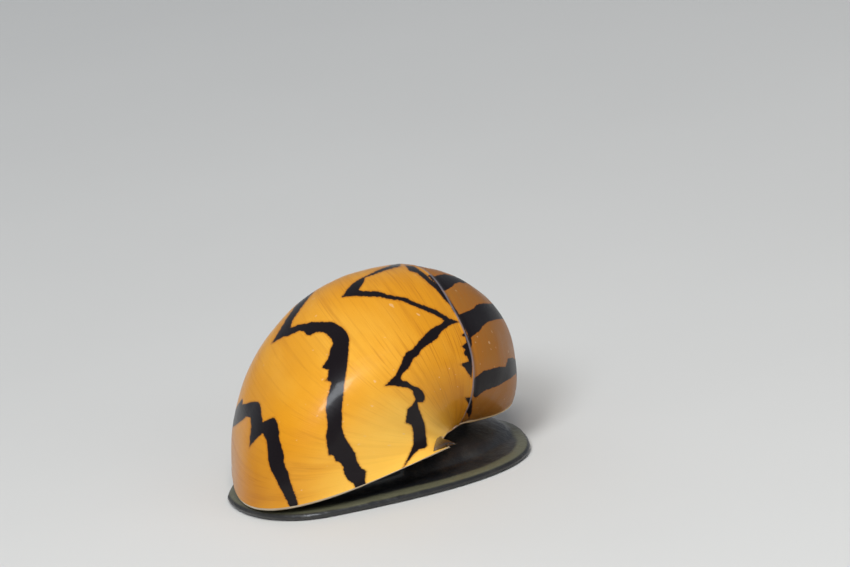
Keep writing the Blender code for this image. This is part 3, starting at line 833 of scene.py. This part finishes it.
HEAD_PLACE = placed((HEAD_RIGHT, HEAD_FORWARD, 0)) * (1, 1, 0)
HEAD_LEFT_AXIS = (math.cos(HEAD_TURN), -math.sin(HEAD_TURN), 0)
HEAD_AHEAD_AXIS = (-math.sin(HEAD_TURN), -math.cos(HEAD_TURN), 0)
HEAD_AXES = np.array((HEAD_LEFT_AXIS, HEAD_AHEAD_AXIS, (0, 0, 1)))


def in_head(points):
    """Points in metres as mm to the head's left, ahead and up."""
    return (points - HEAD_PLACE) / MM @ HEAD_AXES.T


def out_of_head(local):
    """The same back in metres."""
    return HEAD_PLACE + local @ HEAD_AXES * MM


def ellipsoid(local, shape, side=1):
    """Distance in mm to one lump, near enough."""
    ahead, across, level, *half, turn = shape
    arm = local - np.array((side * across, ahead, level))
    c, s = math.cos(side * turn), math.sin(side * turn)
    arm = np.stack((arm[:, 0] * c - arm[:, 1] * s, arm[:, 0] * s + arm[:, 1] * c, arm[:, 2]), -1)
    near = length(arm / half)
    return near * (near - 1) / np.maximum(length(arm / np.square(half)), 1e-6)


def through(knots, count=28):
    """Points on a smooth line through knots."""
    knots = np.array(knots)
    ends = np.concatenate((2 * knots[:1] - knots[1:2], knots, 2 * knots[-1:] - knots[-2:-1]))
    share = np.linspace(0, len(knots) - 1 - 1e-6, count)
    first = share.astype(int)
    t = (share - first)[:, None]
    a, b, c, d = (ends[first + k] for k in range(4))
    return 0.5 * (2 * b + (c - a) * t + (2 * a - 5 * b + 4 * c - d) * t**2 + (3 * b - a - 3 * c + d) * t**3)


def to_tentacles(local):
    """Distance in mm to the nearer tentacle."""
    found = np.full(len(local), np.inf)
    for knots in (LEFT_TENTACLE, RIGHT_TENTACLE):
        line = through(knots)[:, (1, 0, 2)]
        line = line[length(line - line[-1]) > 1.1 * TENTACLE_TIP]
        thicknesses = (TENTACLE_ROOT, TENTACLE_MIDDLE, TENTACLE_TIP)
        radii = np.interp(np.linspace(0, 1, len(line)), (0, 0.4, 1), thicknesses)
        for first, second, thick, thin in zip(line[:-1], line[1:], radii[:-1], radii[1:]):
            run = second - first
            share = np.clip((local - first) @ run / (run @ run), 0, 1)
            away = length(local - first - share[:, None] * run)
            found = np.minimum(found, away - thick - share * (thin - thick))
    return found


def to_eyes(local):
    """Distance in mm to the nearer eye."""
    ahead, across, level = EYE_SPOT
    return np.minimum(*(length(local - (side * across, ahead, level)) for side in (-1, 1))) - EYE


def soft_least(first, second, blend):
    """The smaller of two distances, rounded where they meet."""
    share = np.clip(0.5 + (second - first) / (2 * blend), 0, 1)
    return second + (first - second) * share - blend * share * (1 - share)


def head_field(local):
    """Distance in mm to the head's skin, less than 0 inside."""
    field = ellipsoid(local, CROWN)
    for shape, side, blend in (
        (SNOUT, 1, 0.5), (UPPER_LIP, 1, 0.12), (UPPER_LIP, -1, 0.12), (LOWER_LIP, 1, 0.08),
        (EYE_STALK, 1, 0.3), (EYE_STALK, -1, 0.3),
    ):
        field = soft_least(field, ellipsoid(local, shape, side), blend)
    field = soft_least(field, to_tentacles(local), 0.18)
    field = -soft_least(-field, ellipsoid(local, MOUTH), 0.06)
    return -soft_least(-field, to_eyes(local) + 0.02, 0.05)


def split_near(skin, closeness):
    """Splits the faces of the head that lie near the mouth and the eyes."""
    centres = in_head(np.array([face.center for face in skin.data.polygons]))
    left, ahead, level = centres.T
    near = (abs(left) < FINE_SIDE) & (ahead > FINE_START) & (ahead < FINE_AHEAD) & (level > HEAD_LEVEL)
    near &= np.minimum(ellipsoid(centres, MOUTH), to_eyes(centres)) < closeness
    skin.data.polygons.foreach_set("select", near)
    choose(skin)
    bpy.ops.object.mode_set(mode="EDIT")
    bpy.ops.mesh.select_mode(type="FACE")
    bpy.ops.mesh.subdivide(number_cuts=1, ngon=False)
    bpy.ops.mesh.select_mode(type="VERT")
    bpy.ops.object.mode_set(mode="OBJECT")


def shape_head(skin):
    """Splits the skin finer round the head and lays it on the head's exact form."""
    split_near(skin, 3.0)
    split_near(skin, 0.35)
    points = points_of(skin)
    normals = np.empty(len(points) * 3, np.float32)
    skin.data.vertices.foreach_get("normal", normals)
    edges = np.empty(len(skin.data.edges) * 2, np.int32)
    skin.data.edges.foreach_get("vertices", edges)
    edges = edges.reshape(-1, 2)
    local = in_head(points)
    field = head_field(local)
    chosen = np.nonzero((abs(field) < 0.7) & (local[:, 2] > HEAD_LEVEL) & (local[:, 1] > HEAD_REAR))[0]
    moved = local[chosen]
    ways = in_head(points[chosen] + normals.reshape(-1, 3)[chosen] * MM) - moved
    weight = ease((0.62 - abs(field[chosen])) / 0.30) * ease((ways * slope_of(moved)).sum(1) / 0.4)
    weight = np.maximum(weight, ease((moved[:, 1] - TIPS_AHEAD) / 0.15))
    weight *= ease((moved[:, 2] - HEAD_LEVEL) / 0.15) * ease((moved[:, 1] - HEAD_REAR) / 0.8)
    weight = weight[:, None]
    place = np.full(len(points), -1)
    place[chosen] = np.arange(len(chosen))
    first, second = place[edges[(place[edges] >= 0).all(1)]].T
    count = np.zeros(len(chosen))
    np.add.at(count, first, 1)
    np.add.at(count, second, 1)
    for turn in range(9):
        if turn < 6:
            total = np.zeros_like(moved)
            np.add.at(total, first, moved[second])
            np.add.at(total, second, moved[first])
            moved += 0.5 * weight * (total / np.maximum(count, 1)[:, None] - moved)
        moved -= weight * np.clip(head_field(moved), -0.2, 0.2)[:, None] * slope_of(moved)
    local[chosen] = moved
    skin.data.vertices.foreach_set("co", out_of_head(local).astype(np.float32).reshape(-1))
    skin.data.update()


def slope_of(local):
    """The way straight out of the head's form at each place."""
    steps = np.eye(3) * 0.01
    rise = np.stack([head_field(local + step) - head_field(local - step) for step in steps], -1)
    return unit(rise)


def build_eyes():
    made = []
    for side in ("left", "right"):
        low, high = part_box("eye_" + side)
        made.append(ball("eyeball_" + side, (low + high) / 2, (high - low).x / 2, 40, 24))
    return made


def build_operculum():
    """The lid of the mouth, a half-moon plate on the right rear of the foot's back."""
    place = Matrix.Translation(Vector(LID_SPOT) * MM)
    place = place @ Matrix.Rotation(LID_TURN, 4, "Z") @ Matrix.Rotation(LID_TILT, 4, "X")
    angles = np.linspace(0, 2 * math.pi, 121)
    across, along = np.cos(angles), np.sin(angles)
    along = np.where(along > 0, LID_ROUND * along, -LID_STRAIGHT * np.sqrt(np.abs(along)))
    rows = []
    for level, share in (
        (-1, 0.02), (-1, 0.5), (-1, 0.94), (-0.8, 0.98), (0, 1.0), (0.7, 0.98), (1, 0.93), (0.85, 0.6),
        (0.6, 0.3), (0.5, 0.02),
    ):
        spots = np.stack((LID_HALF_WIDTH * across, along, 0 * along), -1) * share
        spots[:, 2] = LID_HALF_THICKNESS * level
        rows.append([place @ Vector(spot * MM) for spot in spots])
    return closed_off(joined("operculum_plate", [sheet("operculum_plate", np.array(rows))]))


# What a user would change


def colour_setting(name, description, default):
    return bpy.props.FloatVectorProperty(
        name=name, description=description, subtype="COLOR", size=3, min=0, max=1, default=default
    )


class ShellSettings(bpy.types.PropertyGroup):
    ground: colour_setting("Ground colour", "Main colour of the shell", (0.66, 0.272, 0.009))
    # The pale colour also paints the sheen in the middle of the side, a painted highlight.
    pale: colour_setting("Pale colour", "Newest part, low on the side", (0.88, 0.51, 0.080))
    # The deep colour also paints the shade at the front edge and at the low rear, as painted shade.
    deep: colour_setting("Deep colour", "The front and the growth streaks", (0.36, 0.105, 0.005))
    old: colour_setting("Old colour", "Worn shell from before the rest", (0.31, 0.118, 0.014))
    stripe: colour_setting("Stripe colour", "Zigzag stripes", (0.0050, 0.0024, 0.0034))
    rest: colour_setting("Rest line colour", "Thin line where growth once stopped", (0.20, 0.17, 0.19))
    callus: colour_setting("Callus colour", "Smooth shelf on the underside", (0.62, 0.42, 0.20))
    gloss: bpy.props.FloatProperty(
        name="Gloss", description="Weight of the clear outer layer", subtype="FACTOR", min=0, max=1,
        default=0.28,
    )


class BodySettings(bpy.types.PropertyGroup):
    flesh: colour_setting("Flesh colour", "Back of the foot and the mantle", (0.012, 0.012, 0.013))
    margin: colour_setting("Margin colour", "Pale band round the foot", (0.12, 0.115, 0.068))
    head: colour_setting("Head colour", "Skin of the head and tentacles", (0.095, 0.088, 0.062))
    lips: colour_setting("Lip colour", "Round the mouth", (0.24, 0.205, 0.15))
    # The lid colour is a dark brown, partly its own colour and partly painted shade for its place under the
    # shell's rear.
    lid: colour_setting("Lid colour", "Operculum", (0.10, 0.045, 0.02))


class StageSettings(bpy.types.PropertyGroup):
    floor: colour_setting("Floor colour", "Plain pale floor", (0.62, 0.61, 0.59))
    distance: bpy.props.FloatProperty(
        name="Camera distance", description="From the snail", subtype="DISTANCE", unit="LENGTH",
        min=0.1, default=0.45,
    )
    light: bpy.props.FloatProperty(
        name="Key light", description="Power of the main lamp, in watts", min=0, default=1.1,
    )


def shell_finish(settings):
    made = Finish(
        "shell_enamel", Roughness=0.30, Specular_IOR_Level=0.18, Coat_Weight=settings.gloss,
        Coat_Roughness=0.12, Coat_IOR=1.4,
    )
    stage, across = made.feature("stage"), made.feature("across")
    marking, past = made.feature("marking"), made.feature("past_rest")
    where = made.place()
    streaks = made.noise(made.joined(stage * 46, across * 6, 0), 1, 4, 0.6)
    bands = made.noise(made.joined(stage * 13, across * 2.5, 3), 1, 3, 0.5)
    broad = made.noise(made.joined(stage * 3.2, across * 5, 1), 1, 3, 0.5)
    cloud = made.noise(where, 260, 3, 0.55)
    jag = made.noise(where, 5200, 2, 0.6)
    lines = made.noise(made.joined(stage * 95, across * 4, 7), 1, 2, 0.5)
    fine = made.noise(made.joined(stage * 150, across * 14, 0), 1, 3, 0.6)
    specks = made.noise(made.joined(stage * 22, across * 60, 0), 1, 1, 0.4).ramp(0.735, 0.77)

    low_side = (1 - across.ramp(0.12, 0.33)) * (1 - stage.ramp(1.0, 1.6))
    low_side = low_side * stage.ramp(0.10, 0.50).largest(1 - across.ramp(0.12, 0.30))
    # The front by the lip is painted deeper: partly its own darker colour, partly painted shade toward the
    # shell's front edge.
    front = (1 - stage.ramp(0.0, 0.60)) * across.ramp(0.14, 0.40)
    # Painted highlight: the middle of the side, between the front and the rest line, is painted paler as a
    # soft sheen of light.
    middle = stage.ramp(0.6, 1.1) * (1 - stage.ramp(1.3, 1.8))
    middle = middle * across.ramp(0.2, 0.35) * (1 - across.ramp(0.42, 0.62))
    # Painted shade: the low side just before the rest line, where the whorl turns under, is painted darker.
    painted_shade_low_rear = stage.ramp(1.25, 2.0) * (1 - across.ramp(0.15, 0.55))
    # Pale patches and the pale low side are the shell's own colour; the middle adds the painted sheen.
    pale_and_painted_sheen = (broad.ramp(0.40, 0.75) * 0.22 + low_side * 0.75 + middle * 0.22).smallest(1)
    colour = made.mix(pale_and_painted_sheen, settings.ground, settings.pale)
    # Deeper colour of streaks, bands, age and growth lines, with the painted shade of the front and of the
    # low rear.
    darker_and_painted_shade = front * 0.52 + streaks.ramp(0.50, 0.78) * 0.26 + bands.ramp(0.50, 0.72) * 0.22
    darker_and_painted_shade = darker_and_painted_shade * (1 - low_side * 0.6) + stage.ramp(1.0, 2.0) * 0.14 + painted_shade_low_rear * 0.25
    darker_and_painted_shade = darker_and_painted_shade + lines.ramp(0.56, 0.72) * stage.ramp(0.7, 1.5) * 0.45
    colour = made.mix(darker_and_painted_shade.smallest(0.85), colour, settings.deep)
    worn_share = streaks.ramp(0.40, 0.75) * 0.5 + cloud.ramp(0.45, 0.7) * 0.2
    worn = made.mix(worn_share, settings.old, settings.deep)
    colour = made.mix(past.ramp(-0.12, 0.12), colour, worn)
    colour = made.mix(specks * 0.4, colour, (0.72, 0.50, 0.30))
    edge = marking + (jag - 0.5) * 0.12 + (streaks - 0.5) * 0.16
    colour = made.mix((1 - edge.ramp(-0.01, 0.16)) * 0.55, colour, settings.deep)
    colour = made.mix(1 - edge.ramp(-0.035, 0.035), colour, settings.stripe)
    ridge = 1 - past.maths("ABSOLUTE", past + 0.06).ramp(0.05, 0.13)
    colour = made.mix(ridge * 0.75, colour, settings.rest)
    made.give("Base Color", colour)
    made.give("Roughness", 0.30 + streaks * 0.14 + past.ramp(-0.1, 0.3) * 0.10)
    normal = made.bump(fine + streaks * 0.8, 0.16, 0.00010)
    made.give("Normal", made.bump(cloud, 0.10, 0.0004, normal))
    return made.material


def lining_finish():
    made = Finish("shell_lip", Roughness=0.25, Coat_Weight=0.5, Coat_Roughness=0.1)
    cloud = made.noise(made.place(), 300, 3, 0.5)
    made.give("Base Color", made.mix(cloud.ramp(0.3, 0.7), (0.36, 0.24, 0.12), (0.50, 0.40, 0.27)))
    made.give("Normal", made.bump(cloud, 0.15, 0.0003))
    return made.material


def callus_finish(settings):
    made = Finish("callus_enamel", Roughness=0.22, Coat_Weight=0.7, Coat_Roughness=0.08)
    cloud = made.noise(made.place(), 260, 4, 0.55)
    colour = made.mix(cloud.ramp(0.35, 0.75), settings.callus, (0.46, 0.20, 0.06))
    # Painted shade: the callus's end at the left pole, under the shell's rim, is painted near-black; the
    # rest wears its own colour.
    out_of_painted_shade = made.feature("share").ramp(0.08, 0.24)
    made.give("Base Color", made.mix(out_of_painted_shade, (0.035, 0.020, 0.012), colour))
    made.give("Normal", made.bump(cloud, 0.25, 0.0003))
    return made.material


def flesh_finish(settings):
    made = Finish("wet_flesh", Roughness=0.38, Coat_Weight=0.30, Coat_Roughness=0.18)
    where = made.place()
    cloud = made.noise(where, 700, 4, 0.6)
    grain = made.noise(where, 3200, 3, 0.6)
    spots = made.noise(where, 1900, 2, 0.5)
    inward, level = made.feature("inward"), made.feature("level")
    head, mouth, feeler = made.feature("head"), made.feature("mouth"), made.feature("feeler")
    band = 1 - (inward + (cloud - 0.5) * 0.5).ramp(0.75, 1.15)
    band = band * inward.ramp(0.12, 0.30) * level.ramp(0.38, 0.52)
    sole = 1 - level.ramp(0.02, 0.10)
    colour = made.mix(cloud.ramp(0.4, 0.8) * 0.7, settings.flesh, (0.045, 0.042, 0.036))
    colour = made.mix(band * (0.65 + grain * 0.35), colour, settings.margin)
    skin = made.mix(spots.ramp(0.46, 0.60), settings.head, (0.035, 0.032, 0.024))
    skin = made.mix(cloud.ramp(0.55, 0.75) * 0.5, skin, (0.16, 0.15, 0.11))
    on_head = 1 - head.ramp(0.03, 0.25)
    colour = made.mix(on_head, colour, skin)
    lips = (1 - mouth.ramp(0.10, 0.55)) * on_head
    colour = made.mix(lips * 0.85, colour, settings.lips)
    # Painted shade: the mouth's slit is painted near-black, for the shade inside the opening.
    colour = made.mix((1 - mouth.ramp(0.01, 0.07)) * on_head, colour, (0.010, 0.006, 0.006))
    colour = made.mix((1 - feeler.ramp(0.02, 0.12)) * 0.69, colour, (0.030, 0.028, 0.022))
    colour = made.mix(sole, colour, (0.13, 0.115, 0.085))
    made.give("Base Color", colour)
    made.give("Roughness", 0.34 + grain * 0.2)
    normal = made.bump(grain, 0.35, 0.00012)
    made.give("Normal", made.bump(cloud, 0.35, 0.0004, normal))
    return made.material


def eye_finish():
    made = Finish("eye", Roughness=0.08, Coat_Weight=0.8, Coat_Roughness=0.03)
    cloud = made.noise(made.place(), 2500, 2, 0.5)
    made.give("Base Color", made.mix(cloud.ramp(0.3, 0.8), (0.004, 0.004, 0.005), (0.016, 0.012, 0.010)))
    return made.material


def lid_finish(settings):
    made = Finish("operculum_lid", Roughness=0.42, Coat_Weight=0.2, Coat_Roughness=0.2)
    where = made.place()
    kind = {"wave_type": "RINGS", "rings_direction": "SPHERICAL"}
    arcs = made.node("ShaderNodeTexWave", kind, Vector=where, Scale=350, Distortion=2.0, Detail=2.0)
    ring = Number(made, arcs.outputs["Fac"])
    cloud = made.noise(where, 500, 3, 0.5)
    # Dark brown with darker growth arcs; the darkness is partly painted shade for the lid's place under the
    # shell's rear.
    made.give("Base Color", made.mix(ring * 0.5 + cloud * 0.3, settings.lid, (0.035, 0.016, 0.010)))
    made.give("Normal", made.bump(ring, 0.12, 0.00005))
    return made.material


def floor_finish(settings):
    made = Finish("pale_floor", Roughness=0.7)
    cloud = made.noise(made.place(), 30, 4, 0.5)
    pale = tuple(min(1, channel * 1.06) for channel in settings.floor)
    made.give("Base Color", made.mix(cloud, tuple(settings.floor), pale))
    return made.material


# Lamps: how far toward the camera, to its right and up, distance, size, share of the light, colour, and
# whether the gloss shows them.
LAMPS = {
    "key": ((0.85, -0.15, 0.80), 0.40, 0.20, 0.85, (1.0, 0.97, 0.92), False),
    "glint": ((0.84, -0.37, 0.40), 0.40, 0.12, 0.80, (0.90, 0.95, 1.0), True),
    "fill": ((1.0, 0.9, 0.35), 0.60, 0.40, 0.50, (0.90, 0.95, 1.0), False),
    "edge": ((-0.9, -0.8, 0.7), 0.50, 0.25, 0.25, (0.80, 0.90, 1.0), False),
}
ROOM_COLOUR = (0.80, 0.86, 0.95, 1)
ROOM_LIGHT = 0.28


def lamp(name, centre, toward, distance, size, power, colour, glossy):
    """A soft square lamp that shines at the snail from one side."""
    toward.normalize()
    data = bpy.data.lights.new(name, "AREA")
    data.size = size
    data.energy = power
    data.color = colour
    thing = bpy.data.objects.new(name, data)
    bpy.context.scene.collection.objects.link(thing)
    thing.location = centre + toward * distance
    thing.rotation_euler = toward.to_track_quat("Z", "Y").to_euler()
    thing.visible_glossy = glossy


class SNAIL_OT_shell(bpy.types.Operator):
    """Build the striped shell and the inside of its lip"""

    bl_idname = "snail.shell"
    bl_label = "Shell"

    def execute(self, context):
        settings = context.scene.snail_shell
        shell = build_shell()
        wear(shell, shell_finish(settings), "shell", "shell_body_whorl", "shell_spire")
        wear(build_lining(), lining_finish(), "callus")
        return {"FINISHED"}


class SNAIL_OT_callus(bpy.types.Operator):
    """Build the shelf across the shell's underside"""

    bl_idname = "snail.callus"
    bl_label = "Callus"

    def execute(self, context):
        wear(build_callus(), callus_finish(context.scene.snail_shell), "callus", "columellar_deck")
        return {"FINISHED"}


class SNAIL_OT_flesh(bpy.types.Operator):
    """Build the skin of foot, mantle, head and tentacles"""

    bl_idname = "snail.flesh"
    bl_label = "Soft body"

    def execute(self, context):
        wear(build_flesh(), flesh_finish(context.scene.snail_body), "skin", *FLESH_NODES)
        return {"FINISHED"}


class SNAIL_OT_eyes(bpy.types.Operator):
    """Build the two eyes"""

    bl_idname = "snail.eyes"
    bl_label = "Eyes"

    def execute(self, context):
        material = eye_finish()
        for eye in build_eyes():
            wear(eye, material, "eye", eye.name.replace("eyeball", "eye"))
        return {"FINISHED"}


class SNAIL_OT_operculum(bpy.types.Operator):
    """Build the lid on the foot's tail"""

    bl_idname = "snail.operculum"
    bl_label = "Operculum"

    def execute(self, context):
        wear(build_operculum(), lid_finish(context.scene.snail_body), "operculum", "operculum")
        return {"FINISHED"}


class SNAIL_OT_stage(bpy.types.Operator):
    """Lay the floor, hang the lamps and set the camera"""

    bl_idname = "snail.stage"
    bl_label = "Stage"

    def execute(self, context):
        settings = context.scene.snail_stage
        scene = context.scene
        deselect()
        bpy.ops.mesh.primitive_plane_add(size=6)
        floor = context.object
        floor.name = floor.data.name = "floor"
        floor.data.materials.append(floor_finish(settings))

        world = bpy.data.worlds.new("soft_studio")
        scene.world = world
        world.use_nodes = True
        background = world.node_tree.nodes["Background"]
        background.inputs["Color"].default_value = ROOM_COLOUR
        background.inputs["Strength"].default_value = ROOM_LIGHT

        centre = Vector(SMOOTH.reshape(-1, 3).mean(0))
        right, up, back = (Vector(axis) for axis in (VIEW_RIGHT, VIEW_UP, VIEW_BACK))
        for name, ((near, side, high), distance, size, share, colour, glossy) in LAMPS.items():
            toward = back * near + right * side + up * high
            lamp(name, centre, toward, distance, size, settings.light * share, colour, glossy)

        aim = Vector(placed((0, 0, 0)))
        aim += right * ((FRAME_WIDTH / 2 - POLE_PIXEL[0]) / PIXELS_PER_MM * MM)
        aim -= up * ((FRAME_HEIGHT / 2 - POLE_PIXEL[1]) / PIXELS_PER_MM * MM)
        data = bpy.data.cameras.new("camera")
        data.sensor_width = 36
        data.lens = PIXELS_PER_MM / MM * settings.distance * data.sensor_width / FRAME_WIDTH
        data.clip_start = 0.01
        camera = bpy.data.objects.new("camera", data)
        scene.collection.objects.link(camera)
        turn = Matrix((right, up, back)).transposed().to_4x4()
        camera.matrix_world = Matrix.Translation(aim + back * settings.distance) @ turn
        scene.camera = camera
        scene.view_settings.view_transform = "Standard"
        return {"FINISHED"}


class SNAIL_PT_panel(bpy.types.Panel):
    bl_idname = "SNAIL_PT_panel"
    bl_label = "Nerite snail"
    bl_space_type = "VIEW_3D"
    bl_region_type = "UI"
    bl_category = "Snail"

    def draw(self, context):
        for group in ("snail_shell", "snail_body", "snail_stage"):
            settings = getattr(context.scene, group)
            for label in settings.bl_rna.properties.keys():
                if label not in ("rna_type", "name"):
                    self.layout.prop(settings, label)
        for operator in OPERATORS:
            self.layout.operator(operator.bl_idname)


GROUPS = (("snail_shell", ShellSettings), ("snail_body", BodySettings), ("snail_stage", StageSettings))
OPERATORS = (
    SNAIL_OT_shell, SNAIL_OT_callus, SNAIL_OT_flesh, SNAIL_OT_eyes, SNAIL_OT_operculum, SNAIL_OT_stage,
)


def register():
    for _, group in GROUPS:
        bpy.utils.register_class(group)
    for operator in OPERATORS:
        bpy.utils.register_class(operator)
    bpy.utils.register_class(SNAIL_PT_panel)
    for name, group in GROUPS:
        setattr(bpy.types.Scene, name, bpy.props.PointerProperty(type=group))


def unregister():
    for name, group in reversed(GROUPS):
        delattr(bpy.types.Scene, name)
        bpy.utils.unregister_class(group)
    for operator in reversed(OPERATORS):
        bpy.utils.unregister_class(operator)
    bpy.utils.unregister_class(SNAIL_PT_panel)


def main():
    register()
    bpy.ops.snail.shell()
    bpy.ops.snail.callus()
    bpy.ops.snail.flesh()
    bpy.ops.snail.eyes()
    bpy.ops.snail.operculum()
    bpy.ops.snail.stage()


if __name__ == "__main__":
    main()
